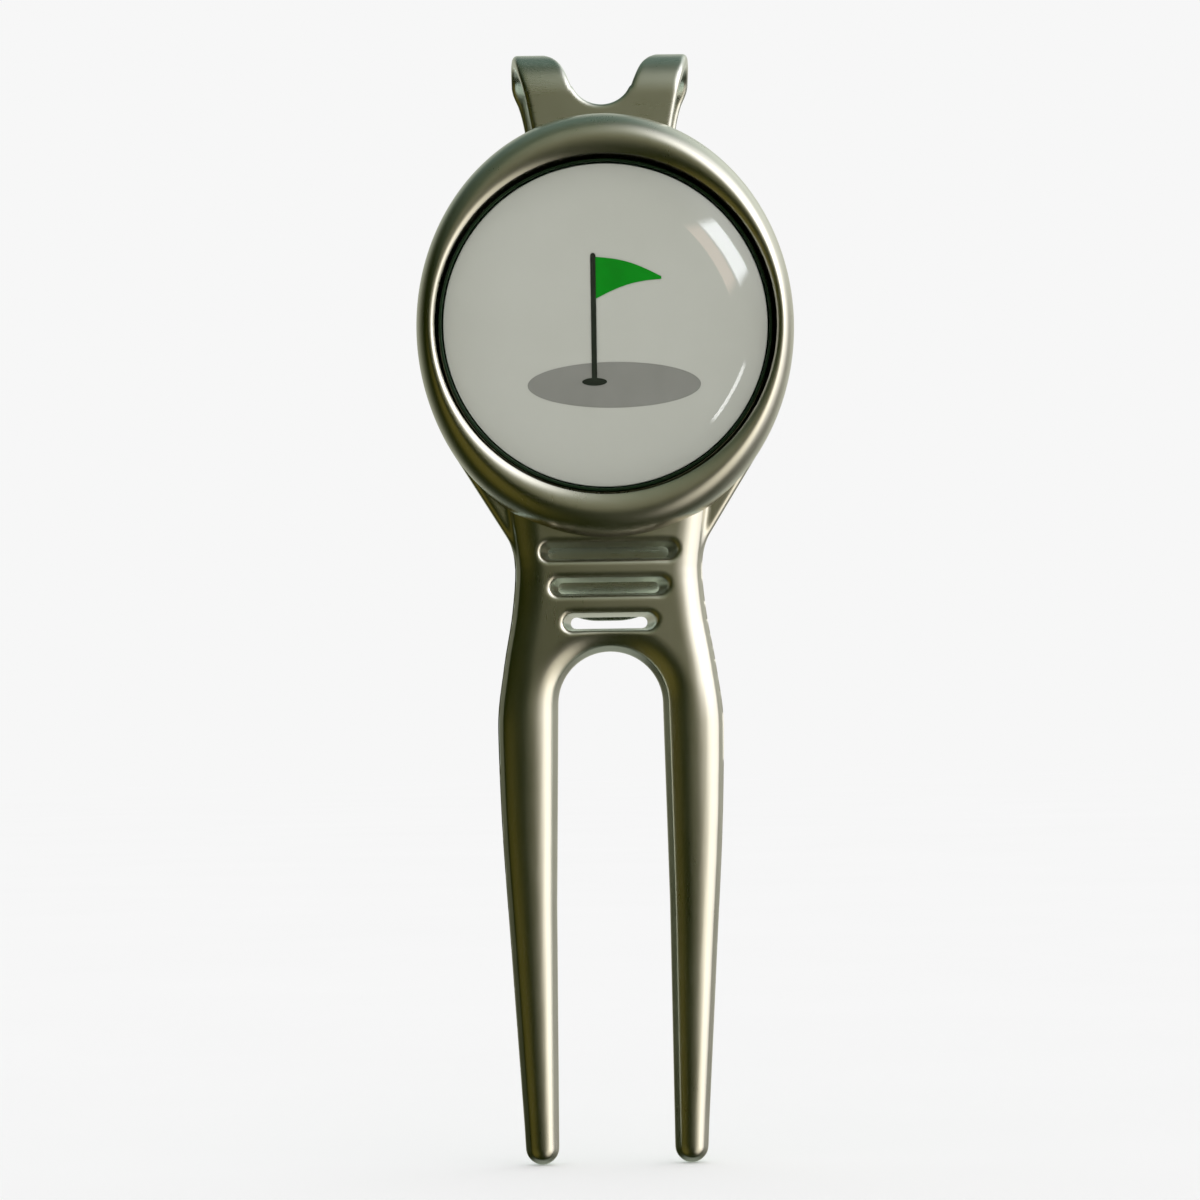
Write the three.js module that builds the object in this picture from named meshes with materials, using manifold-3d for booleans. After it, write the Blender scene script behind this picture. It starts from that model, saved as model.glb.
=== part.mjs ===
// Divot repair tool: a cast two-prong fork with a magnetic ball marker and a spring belt clip.
// Millimetres. The tool is drawn lying on its back: x to the right, y towards the head,
// z out of the front face, with the marker's centre over x = y = 0 and the casting's back at
// z = 0. The last lines stand it up, head at +Z and face at -Y, with its origin at the centre
// of the clip's bend, where the edge of a belt or pocket comes to rest.
import * as THREE from 'three';
import { mergeVertices } from 'three/addons/utils/BufferGeometryUtils.js';
import Module from 'manifold-3d';

const wasm = await Module();
wasm.setup();

// ---- head and marker recess
const RECESS_R = 13.0;
const BEZEL_HALF_WIDTH = 14.45;
const BEZEL_HALF_HEIGHT = 16.4;
const BEZEL_CREST_Z = 5.5;
const RECESS_LIP_Z = 4.9;
const RECESS_FLOOR_Z = 2.5;

// ---- neck and prongs
const FORK_THICKNESS = 3.7;
const TIP_THICKNESS = 2.1;
const FORK_ROOT = [8.5, -5.0];
const TAPER_START_Y = -30;
const TIP_END_Y = -63.8;
const TIP_RADIUS = 1.27;
const TIP_CENTRE_X = 5.68;
const ARCH_RADIUS = 4.0;
const ARCH_TOP_Y = -24.85;
const EDGE_ROUND_WIDTH = 0.8;
const EDGE_ROUND_DEPTH = 1.15;
// Half-widths of the outline from where it leaves the bezel to the prongs' tips, and of the
// gap between the prongs from the tips to the arch.
const OUTER_SIDE = [
  [8.5, -9.6], [7.8, -13.6], [7.4, -16.4], [7.16, -18.6], [7.4, -21.6], [8.1, -25.8],
  [8.63, -30.4], [8.5, -36.2], [7.8, -48.4], [7.05, -60.6],
];
const INNER_SIDE = [[4.3, -44], [4.06, -32]];
// Half-widths of the thin ledge that fills the corner between the neck and the bezel.
const LEDGE_SIDE = [[6.9, -17.4], [7.5, -16.4], [9.35, -13.4], [12.2, -8.8]];
const LEDGE_TOP_Z = 2.3;

// ---- grip slots through the neck
const SLOT_HEIGHT = 1.45;
const SLOT_LENGTHS = [10.4, 8.9, 7.0];
const FIRST_SLOT_Y = -17.2;
const SLOT_PITCH = 2.7;

// ---- magnet and ball marker
const MAGNET_R = 4.0;
const MAGNET_THICKNESS = 1.2;
const MARKER_R = 12.7;
const MARKER_RIM_WIDTH = 0.22;
const MARKER_BASE = 1.0;
const MARKER_HEIGHT = 1.75;
const PRINT_R = 12.36;
const PRINT_THICKNESS = 0.25;
const CUP_BEVEL = 0.2;
const RIM_BEVEL = 0.07;
const DOME_EDGE = 0.25;
const DOME_RISE = 0.75;
const DOME_SHARES = [0.985, 0.95, 0.88, 0.75, 0.55, 0.3];
const DOME_FLATNESS = 4;

// ---- belt clip and its rivets
const SHEET = 1.1;
const CLIP_GAP = 5.0;
const EAR_TOP_Y = 22.2;
const LEG_END_Y = 4.0;
const TONGUE_KNEE_Y = 3.0;
const TONGUE_NIP_Y = -15.5;
const TONGUE_SLOPE = THREE.MathUtils.degToRad(14.3);
const LIP_SLOPE = THREE.MathUtils.degToRad(-24);
const LIP_LENGTH = 7.1;
const LIP_STEPS = 5;
const LEG_CORNER_R = 2.0;
const TONGUE_CORNER_R = 4.4;
const NOTCH_R = 2.47;
const NOTCH_BOTTOM_Y = 17.75;
const NOTCH_LEAN_DEG = 23;
// Half-widths of the notch above its round bottom, and of the strip: on the leg in front, and
// on the tongue behind.
const NOTCH_SIDE = [[3.26, 21.5], [3.5, 21.85], [3.95, 22.2]];
const LEG_SIDE = [
  [4.6, 6.5], [5.0, 13.6], [5.45, 16.0], [5.9, 18.2], [6.45, 20.6], [6.8, 21.8], [6.85, 22.8],
];
const TONGUE_SIDE = [
  [5.2, -17.5], [5.35, 3.0], [5.75, 15.0], [6.02, 16.9], [6.42, 18.5], [6.68, 19.2], [6.98, 20.2],
  [7.0, 21.2], [6.9, 22.3],
];
const RIVET_YS = { rivet_upper: 12.2, rivet_lower: 6.9 };
const RIVET_SHANK_R = 1.0;
const RIVET_HEAD_R = 1.8;
const RIVET_CROWN_R = 1.25;
const RIVET_HEAD = 0.5;
const RIVET_EDGE = 0.2;
const RIVET_DEPTH = 1.2;

// ---- clearances
const SEAM = 0.3;
const CLOSE_FIT = 0.12;
const RIVET_FIT = 0.2;
const OVERCUT = 1;

const ROUND_SEGMENTS = 64;
const SMALL_SEGMENTS = 28;
const OUTLINE_STEPS = 44;
const SIDE_STEPS = 30;
const ARC_STEPS = 9;

// Heights that follow from the driving dimensions.
const FORK_MID_Z = FORK_THICKNESS / 2;
const MAGNET_BACK_Z = RECESS_FLOOR_Z - MAGNET_THICKNESS - CLOSE_FIT;
const MAGNET_POCKET_Z = MAGNET_BACK_Z - CLOSE_FIT;
const MARKER_BACK_Z = RECESS_FLOOR_Z + CLOSE_FIT;
const PRINT_BACK_Z = MARKER_BACK_Z + MARKER_BASE + CLOSE_FIT;
const DOME_BACK_Z = PRINT_BACK_Z + PRINT_THICKNESS + CLOSE_FIT;
const LEG_BACK_Z = -(SEAM + SHEET);
const LEG_MID_Z = LEG_BACK_Z + SHEET / 2;
const BEND_R = (CLIP_GAP + SHEET) / 2;
const BEND_Z = LEG_MID_Z - BEND_R;
const BEND_Y = EAR_TOP_Y - BEND_R - SHEET / 2;
const CLIP_BACK_Z = BEND_Z - BEND_R - SHEET / 2;

// ---- helpers

function solidOf(geometry) {
  const bare = geometry.clone();
  bare.deleteAttribute('normal');
  bare.deleteAttribute('uv');
  const merged = mergeVertices(bare, 1e-4);
  const corners = Array.from(merged.index.array);
  const triVerts = [];
  for (let i = 0; i < corners.length; i += 3) {
    const [a, b, c] = corners.slice(i, i + 3);
    if (a !== b && b !== c && c !== a) triVerts.push(a, b, c);
  }
  return new wasm.Manifold(new wasm.Mesh({
    numProp: 3,
    vertProperties: new Float32Array(merged.getAttribute('position').array),
    triVerts: new Uint32Array(triVerts),
  }));
}

function geometryOf(solid) {
  const mesh = solid.getMesh();
  const geometry = new THREE.BufferGeometry();
  geometry.setAttribute('position', new THREE.BufferAttribute(mesh.vertProperties, 3));
  geometry.setIndex(new THREE.BufferAttribute(mesh.triVerts, 1));
  geometry.computeVertexNormals();
  return geometry;
}

function vectors(pairs) {
  return pairs.map(([x, y]) => new THREE.Vector2(x, y));
}

function mirrored(points) {
  return points.map((p) => new THREE.Vector2(-p.x, p.y)).reverse();
}

function arc(x, y, radius, fromDeg, toDeg, steps = ARC_STEPS) {
  const from = THREE.MathUtils.degToRad(fromDeg);
  const turn = THREE.MathUtils.degToRad(toDeg) - from;
  const at = (i) => from + (turn * i) / steps;
  return Array.from({ length: steps + 1 }, (_, i) => new THREE.Vector2(
    x + radius * Math.cos(at(i)),
    y + radius * Math.sin(at(i)),
  ));
}

// A slab of the given outline between two heights.
function slab(points, bottom, top) {
  const geometry = new THREE.ExtrudeGeometry(new THREE.Shape(points), {
    depth: top - bottom,
    bevelEnabled: false,
  });
  return geometry.translate(0, 0, bottom);
}

// A body turned about the z axis; the profile is a list of [radius, height].
function turned(profile, segments = ROUND_SEGMENTS) {
  return new THREE.LatheGeometry(vectors(profile), segments).rotateX(Math.PI / 2);
}

function pin(radius, bottom, top, y = 0, segments = SMALL_SEGMENTS) {
  const profile = [[0, bottom], [radius, bottom], [radius, top], [0, top]];
  return turned(profile, segments).translate(0, y, 0);
}

function named(name, geometry, look) {
  const mesh = new THREE.Mesh(geometry, new THREE.MeshStandardMaterial(look));
  mesh.name = name;
  return mesh;
}

const SATIN_NICKEL = { color: 0x9c967a, roughness: 0.36, metalness: 1 };
const DARK_NICKEL = { color: 0x1c1d1a, roughness: 0.35, metalness: 1 };
const MAGNET_NICKEL = { color: 0xa9acad, roughness: 0.25, metalness: 1 };
const PRINTED_FACE = { color: 0xc6c7bf, roughness: 0.6, metalness: 0 };
const CLEAR_RESIN = {
  color: 0xffffff,
  roughness: 0.05,
  metalness: 0,
  transparent: true,
  opacity: 0.25,
};

// ---- the casting

// The bezel is round inside and oval outside, so its width grows from the sides to the ends.
// The profile runs to RECESS_R in millimetres and then in fractions of the bezel's width.
function headSolid() {
  const across = (fraction) => RECESS_R + fraction;
  const dish = turned([
    [0, 0], [across(0.45), 0], [across(0.8), 0.25], [across(0.97), 0.9], [across(1), 1.9],
    [across(0.98), 3.0], [across(0.88), 4.1], [across(0.68), 5.0], [across(0.42), BEZEL_CREST_Z],
    [across(0.2), 5.4], [across(0.06), 5.15], [across(0), RECESS_LIP_Z],
    [across(0), RECESS_FLOOR_Z],
    [MAGNET_R + CLOSE_FIT, RECESS_FLOOR_Z], [MAGNET_R + CLOSE_FIT, MAGNET_POCKET_Z],
    [0, MAGNET_POCKET_Z],
  ]);
  const places = dish.getAttribute('position');
  for (let i = 0; i < places.count; i += 1) {
    const radius = Math.hypot(places.getX(i), places.getY(i));
    if (radius > RECESS_R) {
      const cos = places.getX(i) / radius;
      const sin = places.getY(i) / radius;
      const rim = 1 / Math.hypot(cos / BEZEL_HALF_WIDTH, sin / BEZEL_HALF_HEIGHT);
      const moved = RECESS_R + (radius - RECESS_R) * (rim - RECESS_R);
      places.setXY(i, moved * cos, moved * sin);
    }
  }
  return solidOf(dish);
}

function forkOutline() {
  const outer = new THREE.SplineCurve(vectors(OUTER_SIDE)).getPoints(OUTLINE_STEPS);
  const tip = arc(TIP_CENTRE_X, TIP_END_Y + TIP_RADIUS, TIP_RADIUS, 0, -180);
  const inner = vectors(INNER_SIDE);
  const halfArch = arc(0, ARCH_TOP_Y - ARCH_RADIUS, ARCH_RADIUS, 0, 90);
  const right = [...vectors([FORK_ROOT]), ...outer, ...tip, ...inner, ...halfArch];
  return [...right, ...mirrored(right.slice(0, -1))];
}

// Neck and prongs in one slab with rounded edges, thinning towards the tips.
function forkSolid() {
  const slabOfFork = new THREE.ExtrudeGeometry(new THREE.Shape(forkOutline()), {
    depth: FORK_THICKNESS - 2 * EDGE_ROUND_DEPTH,
    bevelThickness: EDGE_ROUND_DEPTH,
    bevelSize: EDGE_ROUND_WIDTH,
    bevelOffset: -EDGE_ROUND_WIDTH,
    bevelSegments: 3,
  });
  slabOfFork.translate(0, 0, EDGE_ROUND_DEPTH - FORK_MID_Z);
  const places = slabOfFork.getAttribute('position');
  for (let i = 0; i < places.count; i += 1) {
    const along = (places.getY(i) - TAPER_START_Y) / (TIP_END_Y - TAPER_START_Y);
    const share = THREE.MathUtils.clamp(along, 0, 1);
    const thickness = THREE.MathUtils.lerp(FORK_THICKNESS, TIP_THICKNESS, share);
    places.setZ(i, FORK_MID_Z + places.getZ(i) * (thickness / FORK_THICKNESS));
  }
  return solidOf(slabOfFork);
}

function slotSolid(length, y) {
  const reach = (length - SLOT_HEIGHT) / 2;
  const outline = [
    ...arc(reach, y, SLOT_HEIGHT / 2, -90, 90),
    ...arc(-reach, y, SLOT_HEIGHT / 2, 90, 270),
  ];
  return solidOf(slab(outline, -OVERCUT, FORK_THICKNESS + OVERCUT));
}

function ledgeSolid() {
  const right = vectors([...LEDGE_SIDE, FORK_ROOT]);
  return solidOf(slab([...right, ...mirrored(right)], 0, LEDGE_TOP_Z));
}

function makeForkBody() {
  const above = BEZEL_CREST_Z + OVERCUT;
  const recess = solidOf(pin(RECESS_R, RECESS_FLOOR_Z, above, 0, ROUND_SEGMENTS));
  let body = headSolid().add(forkSolid().add(ledgeSolid()).subtract(recess));
  SLOT_LENGTHS.forEach((length, i) => {
    body = body.subtract(slotSolid(length, FIRST_SLOT_Y - i * SLOT_PITCH));
  });
  const holeTop = RIVET_DEPTH + RIVET_FIT;
  for (const y of Object.values(RIVET_YS)) {
    body = body.subtract(solidOf(pin(RIVET_SHANK_R + RIVET_FIT, -OVERCUT, holeTop, y)));
  }
  return named('fork_body', geometryOf(body), SATIN_NICKEL);
}

// ---- magnet and ball marker

function makeMagnet() {
  const geometry = pin(MAGNET_R, MAGNET_BACK_Z, MAGNET_BACK_Z + MAGNET_THICKNESS);
  return named('marker_magnet', geometry, MAGNET_NICKEL);
}

function makeMarker() {
  const inner = MARKER_R - MARKER_RIM_WIDTH;
  const rimTop = MARKER_BACK_Z + MARKER_HEIGHT;
  const cupFloor = MARKER_BACK_Z + MARKER_BASE;
  const cup = turned([
    [0, MARKER_BACK_Z], [MARKER_R - CUP_BEVEL, MARKER_BACK_Z],
    [MARKER_R, MARKER_BACK_Z + CUP_BEVEL], [MARKER_R, rimTop - RIM_BEVEL],
    [MARKER_R - RIM_BEVEL, rimTop], [inner + RIM_BEVEL, rimTop], [inner, rimTop - RIM_BEVEL],
    [inner, cupFloor], [0, cupFloor],
  ]);
  const print = pin(PRINT_R, PRINT_BACK_Z, PRINT_BACK_Z + PRINT_THICKNESS, 0, ROUND_SEGMENTS);
  const domeEdge = DOME_BACK_Z + DOME_EDGE;
  const dome = turned([
    [0, DOME_BACK_Z], [PRINT_R, DOME_BACK_Z], [PRINT_R, domeEdge],
    ...DOME_SHARES.map((share) => [
      PRINT_R * share,
      domeEdge + DOME_RISE * (1 - share ** DOME_FLATNESS),
    ]),
    [0, domeEdge + DOME_RISE],
  ]);
  return [
    named('marker_disc', cup, DARK_NICKEL),
    named('marker_print', print, PRINTED_FACE),
    named('marker_dome', dome, CLEAR_RESIN),
  ];
}

// ---- belt clip

// Sheet metal seen from its edge: a centre line of [y, z] points, given its thickness and
// extruded across the tool.
function stripSolid(line) {
  const side = (sign) => line.map((p, i) => {
    const before = line[Math.max(i - 1, 0)];
    const after = line[Math.min(i + 1, line.length - 1)];
    const along = after.clone().sub(before).normalize();
    return new THREE.Vector2(-along.y, along.x).multiplyScalar((sign * SHEET) / 2).add(p);
  });
  const outline = [...side(1), ...side(-1).reverse()];
  const strip = slab(outline, -BEZEL_HALF_WIDTH, BEZEL_HALF_WIDTH);
  const toTool = new THREE.Matrix4().makeBasis(
    new THREE.Vector3(0, 1, 0),
    new THREE.Vector3(0, 0, 1),
    new THREE.Vector3(1, 0, 0),
  );
  return solidOf(strip.applyMatrix4(toTool));
}

function bendArc(fromDeg, toDeg) {
  return arc(0, 0, BEND_R, fromDeg, toDeg).map((p) => new THREE.Vector2(
    BEND_Y + p.y,
    BEND_Z + p.x,
  ));
}

// The outline of the leg or the tongue, from its rounded lower end to above the ears.
function clipOutline(side, endY, cornerR) {
  const endX = side[0][0];
  const corner = arc(endX - cornerR, endY + cornerR, cornerR, -90, 0);
  const curve = new THREE.SplineCurve(vectors(side)).getPoints(SIDE_STEPS);
  const right = [...corner, ...curve];
  return [...right, ...mirrored(right)];
}

// The notch between the ears: round at the bottom, with sides that lean apart.
function notchOutline() {
  const bottom = arc(0, NOTCH_BOTTOM_Y + NOTCH_R, NOTCH_R, -90, -NOTCH_LEAN_DEG);
  const [topX, topY] = NOTCH_SIDE[NOTCH_SIDE.length - 1];
  const right = [...bottom, ...vectors([...NOTCH_SIDE, [topX, topY + OVERCUT]])];
  return [...right, ...mirrored(right.slice(1))];
}

// Everything behind and in front of the clip, within an outline seen from the front.
function clipCutter(outline) {
  return solidOf(slab(outline, CLIP_BACK_Z - OVERCUT, OVERCUT));
}

function makeClip() {
  const splitDeg = THREE.MathUtils.radToDeg(SEAM / 2 / BEND_R);
  const legLine = [new THREE.Vector2(LEG_END_Y, LEG_MID_Z), ...bendArc(0, 90 - splitDeg)];
  const tongueZ = BEND_Z - BEND_R;
  const slopeRun = TONGUE_KNEE_Y - TONGUE_NIP_Y;
  const tongueLine = [
    ...bendArc(90 + splitDeg, 180),
    new THREE.Vector2(TONGUE_KNEE_Y, tongueZ),
    new THREE.Vector2(TONGUE_NIP_Y, tongueZ + slopeRun * Math.tan(TONGUE_SLOPE)),
  ];
  for (let i = 1; i <= LIP_STEPS; i += 1) {
    const slope = THREE.MathUtils.lerp(TONGUE_SLOPE, LIP_SLOPE, i / LIP_STEPS);
    const step = new THREE.Vector2(-Math.cos(slope), Math.sin(slope));
    const last = tongueLine[tongueLine.length - 1];
    tongueLine.push(step.multiplyScalar(LIP_LENGTH / LIP_STEPS).add(last));
  }
  const tongueEndY = tongueLine[tongueLine.length - 1].x;
  const notch = clipCutter(notchOutline());
  const legOutline = clipOutline(LEG_SIDE, LEG_END_Y, LEG_CORNER_R);
  const tongueOutline = clipOutline(TONGUE_SIDE, tongueEndY, TONGUE_CORNER_R);
  let leg = stripSolid(legLine).subtract(notch).intersect(clipCutter(legOutline));
  for (const y of Object.values(RIVET_YS)) {
    const hole = pin(RIVET_SHANK_R + RIVET_FIT, LEG_BACK_Z - OVERCUT, OVERCUT, y);
    leg = leg.subtract(solidOf(hole));
  }
  const tongue = stripSolid(tongueLine).subtract(notch).intersect(clipCutter(tongueOutline));
  return [
    named('clip_leg', geometryOf(leg), SATIN_NICKEL),
    named('clip_tongue', geometryOf(tongue), SATIN_NICKEL),
  ];
}

// A rivet's shank ends blind in the casting, and its low head holds the clip's leg.
function makeRivets() {
  const seat = LEG_BACK_Z - CLOSE_FIT;
  const crown = seat - RIVET_HEAD;
  const profile = [
    [0, crown], [RIVET_CROWN_R, crown], [RIVET_HEAD_R, seat - RIVET_EDGE],
    [RIVET_HEAD_R, seat], [RIVET_SHANK_R, seat], [RIVET_SHANK_R, RIVET_DEPTH],
    [0, RIVET_DEPTH],
  ];
  return Object.entries(RIVET_YS).map(([name, y]) => (
    named(name, turned(profile, SMALL_SEGMENTS).translate(0, y, 0), SATIN_NICKEL)
  ));
}

const tool = new THREE.Group();
tool.add(makeForkBody(), makeMagnet(), ...makeMarker(), ...makeClip(), ...makeRivets());
tool.position.set(0, -BEND_Y, -BEND_Z);

const upright = new THREE.Group();
upright.add(tool);
upright.rotation.x = Math.PI / 2;
export default upright;
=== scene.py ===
"""Looks of a divot repair tool: a cast two-prong fork with a ball marker and a spring clip.

Shapes are worked out in tool millimetres, as [across, along, out]: across to the right,
along from the marker's centre towards the clip's ears, and out from the casting's flat
back through its face. to_row() turns those into the frame's metres.
"""

import math

import bpy
import numpy as np
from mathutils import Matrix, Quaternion, Vector


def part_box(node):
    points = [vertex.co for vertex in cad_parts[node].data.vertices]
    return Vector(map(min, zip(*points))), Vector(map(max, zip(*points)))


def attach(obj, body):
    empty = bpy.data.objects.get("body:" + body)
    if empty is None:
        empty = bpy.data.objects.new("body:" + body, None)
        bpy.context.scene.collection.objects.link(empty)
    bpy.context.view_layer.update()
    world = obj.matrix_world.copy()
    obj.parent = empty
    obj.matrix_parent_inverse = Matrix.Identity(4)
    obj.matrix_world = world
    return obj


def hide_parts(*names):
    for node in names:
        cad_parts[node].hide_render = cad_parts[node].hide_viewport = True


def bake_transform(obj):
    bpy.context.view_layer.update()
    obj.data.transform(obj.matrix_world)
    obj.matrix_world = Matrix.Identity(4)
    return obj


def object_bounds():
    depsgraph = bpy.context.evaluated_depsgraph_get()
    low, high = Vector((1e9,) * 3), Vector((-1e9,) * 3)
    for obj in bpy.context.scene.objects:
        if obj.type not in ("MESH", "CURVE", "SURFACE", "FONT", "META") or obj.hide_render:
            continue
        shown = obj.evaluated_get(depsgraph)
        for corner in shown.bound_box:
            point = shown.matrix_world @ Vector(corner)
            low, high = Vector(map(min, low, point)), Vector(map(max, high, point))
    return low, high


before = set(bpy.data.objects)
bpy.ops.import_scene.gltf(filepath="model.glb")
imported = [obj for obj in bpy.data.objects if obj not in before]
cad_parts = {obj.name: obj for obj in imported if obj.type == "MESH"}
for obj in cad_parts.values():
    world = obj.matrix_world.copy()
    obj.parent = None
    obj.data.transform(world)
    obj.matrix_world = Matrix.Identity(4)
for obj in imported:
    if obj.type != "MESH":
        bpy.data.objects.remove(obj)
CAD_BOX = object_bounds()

MM = 0.001
TINY = 1e-12

# ---------------------------------------------------------------- places from the frame
FORK_LO, FORK_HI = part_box("fork_body")
DISC_LO, DISC_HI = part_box("marker_disc")
PRINT_LO, PRINT_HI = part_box("marker_print")
DOME_LO, DOME_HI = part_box("marker_dome")
MAGNET_LO, MAGNET_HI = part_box("marker_magnet")
LEG_LO, LEG_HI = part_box("clip_leg")
TONGUE_LO, TONGUE_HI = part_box("clip_tongue")

BACK_Y = FORK_HI.y
CENTRE_Z = (DISC_LO.z + DISC_HI.z) / 2


def to_row(points):
    """Tool millimetres to metres in the row frame."""
    across, along, out = np.asarray(points, float).T
    return np.column_stack([across * MM, BACK_Y - out * MM, CENTRE_Z + along * MM])


def out_of(y):
    """How far in front of the casting's back a row-frame y is, in millimetres."""
    return (BACK_Y - y) / MM


def along_of(z):
    """How far above the marker's centre a row-frame z is, in millimetres."""
    return (z - CENTRE_Z) / MM


# ---------------------------------------------------------------- driving dimensions, mm
BEZEL_A = FORK_HI.x / MM
BEZEL_B = along_of(FORK_HI.z)
CREST = out_of(FORK_LO.y)
TIP_END = along_of(FORK_LO.z)

# Head: the recess with its lip, the bezel's crest, side and back edge, the magnet's pocket and
# the rivets' holes. A share is one of the bezel's width, LIP_LEAN and SHARP_DEGREES are angles,
# and FLAT_FACING is a cosine.
RECESS_R = 13.0
RECESS_FLOOR = 2.5
FLOOR_ROUND = 0.25
LIP = 4.55
LIP_LEAN = 42
LIP_WALL = 0.04
CREST_SHARE = 0.36
CREST_SHIFT = 0.39
BEZEL_SIDE = 2.6
BACK_ROUND = 0.7
BACK_SHARE = 0.28
POCKET_R = 4.12
POCKET_FLOOR = 1.06
POCKET_BEVEL = 0.12
HOLE_R = 1.15
HOLE_DEPTH = 1.4
SHARP_DEGREES = 33
FLAT_FACING = 0.999999

# Neck and prongs: half depths about the parting plane, the drafted band up the side and the
# crown above it. OUTER_SIDE and LEDGE_SIDE run as (along, half-width), and INNER_SIDE, the
# straight inside of a prong, as (across, along).
FORK_MID = 1.85
FORK_BACK = 0.12
HALF_DEPTH_ROOT = 1.85
HALF_DEPTH_TIP = 1.05
TAPER_START = -30.0
BAND = 0.42
CROWN_ROOT = 1.9
CROWN_TIP = 0.84
CROWN_BACK = 0.55
CROWN_EDGE = math.radians(46)
PARTING_ROUND = 0.26
FACE_SWELL = 0.0042
SWELL_REACH = 7.0
ARCH_R = 4.0
ARCH_TOP = -24.85
TIP_R = 1.27
TIP_X = 5.68
FORK_START_R = 13.35
OUTER_SIDE = [
    (-9.6, 8.5), (-13.6, 7.8), (-16.4, 7.4), (-18.6, 7.16), (-21.6, 7.4),
    (-25.8, 8.1), (-30.4, 8.63), (-36.2, 8.5), (-48.4, 7.8), (-60.6, 7.05),
]
INNER_SIDE = [(4.3, -44.0), (4.06, -32.0)]
LEDGE_SIDE = [(-8.8, 12.2), (-13.4, 9.35), (-16.4, 7.5), (-17.4, 6.9), (-18.4, 5.8)]
LEDGE_TOP = 2.3
LEDGE_EDGE = 0.55
LEDGE_FILLET = 0.35
# Both half outlines are closed past the middle line and up under the bezel.
CLOSING_X = -6.0
CLOSING_TOP = [(CLOSING_X, -3.0), (9.5, -3.0)]

# Slots, from the top one down, and how much they narrow per millimetre of depth.
SLOT_LENGTHS = (10.5, 9.0, 7.1)
SLOT_TOP = -17.2
SLOT_PITCH = 2.7
SLOT_HALF = 0.7
SLOT_DRAFT = 0.08
SLOT_END_DRAFT = 0.1
SLOT_EDGE = 0.42

RIVETS = ("rivet_upper", "rivet_lower")

# Sampling of the fields that are turned into meshes, and how their points are pulled back
# onto the true surface.
FORK_GRID_ACROSS = 0.18
FORK_GRID_OUT = 0.17
FORK_GRID_ALONG = (0.2, 0.14)
CLIP_GRID = 0.19
FAR = 9.0
PULLS = 3
PULL_REACH = 0.08
PROBE = 0.004
LEAST_SLOPE = 0.05


# ---------------------------------------------------------------- mesh helpers

def new_object(name, points, faces):
    """A smooth mesh object, from points in tool millimetres."""
    mesh = bpy.data.meshes.new(name)
    mesh.from_pydata(to_row(points).tolist(), [], [list(map(int, f)) for f in faces])
    mesh.polygons.foreach_set("use_smooth", [True] * len(mesh.polygons))
    mesh.update()
    made = bpy.data.objects.new(name, mesh)
    bpy.context.scene.collection.objects.link(made)
    return made


def finish(piece, look, body, *nodes):
    """Gives a piece its material, the body it rides on and the nodes it replaces."""
    material, slot = look
    piece.data.materials.clear()
    piece.data.materials.append(material)
    if nodes:
        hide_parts(*nodes)
    if body:
        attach(piece, body)
    return piece


def combined(piece, other, operation):
    """The piece after a boolean with another object, which is used up."""
    modifier = piece.modifiers.new("boolean", "BOOLEAN")
    modifier.operation = operation
    modifier.solver = "MANIFOLD"
    modifier.object = other
    depsgraph = bpy.context.evaluated_depsgraph_get()
    result = bpy.data.meshes.new_from_object(piece.evaluated_get(depsgraph))
    piece.modifiers.clear()
    piece.data = result
    bpy.data.objects.remove(other)
    return piece


def smooth_through(anchors, x):
    """A smooth curve through (x, value) anchors, with no overshoot between them."""
    px, py = np.array(anchors, float).T
    slopes = np.diff(py) / np.diff(px)
    tangent = np.zeros(len(px))
    before, after = slopes[:-1], slopes[1:]
    same = before * after > 0
    tangent[1:-1] = np.where(same, 2 * before * after / np.where(same, before + after, 1), 0)
    tangent[0], tangent[-1] = slopes[0], slopes[-1]
    x = np.clip(x, px[0], px[-1])
    i = np.clip(np.searchsorted(px, x) - 1, 0, len(px) - 2)
    step = px[i + 1] - px[i]
    t = (x - px[i]) / step
    return (
        (2 * t**3 - 3 * t**2 + 1) * py[i]
        + (t**3 - 2 * t**2 + t) * step * tangent[i]
        + (3 * t**2 - 2 * t**3) * py[i + 1]
        + (t**3 - t**2) * step * tangent[i + 1]
    )


def arc(cx, cy, radius, start, end, steps):
    """Points on an arc, in degrees."""
    turn = np.radians(np.linspace(start, end, steps + 1))
    return np.column_stack([cx + radius * np.cos(turn), cy + radius * np.sin(turn)])


def inset(px, py, outline):
    """How far each point lies inside a closed outline. Negative outside it."""
    best = np.full(px.shape, np.inf)
    odd = np.zeros(px.shape, bool)
    for (ax, ay), (bx, by) in zip(outline, np.roll(outline, -1, axis=0)):
        dx, dy = bx - ax, by - ay
        length = dx * dx + dy * dy
        if length < TINY:
            continue
        t = np.clip(((px - ax) * dx + (py - ay) * dy) / length, 0, 1)
        best = np.minimum(best, (px - ax - t * dx) ** 2 + (py - ay - t * dy) ** 2)
        if ay != by:
            crossed = ((ay > py) != (by > py)) & (px < (py - ay) * dx / dy + ax)
            odd ^= crossed
    return np.sqrt(best) * np.where(odd, 1, -1)


def blend_min(a, b, k):
    """The lower of two fields, rounded where they meet."""
    h = np.maximum(k - np.abs(a - b), 0) / k
    return np.minimum(a, b) - h * h * k / 4


def blend_max(a, b, k):
    """The higher of two fields, rounded where they meet."""
    return -blend_min(-a, -b, k)


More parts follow.
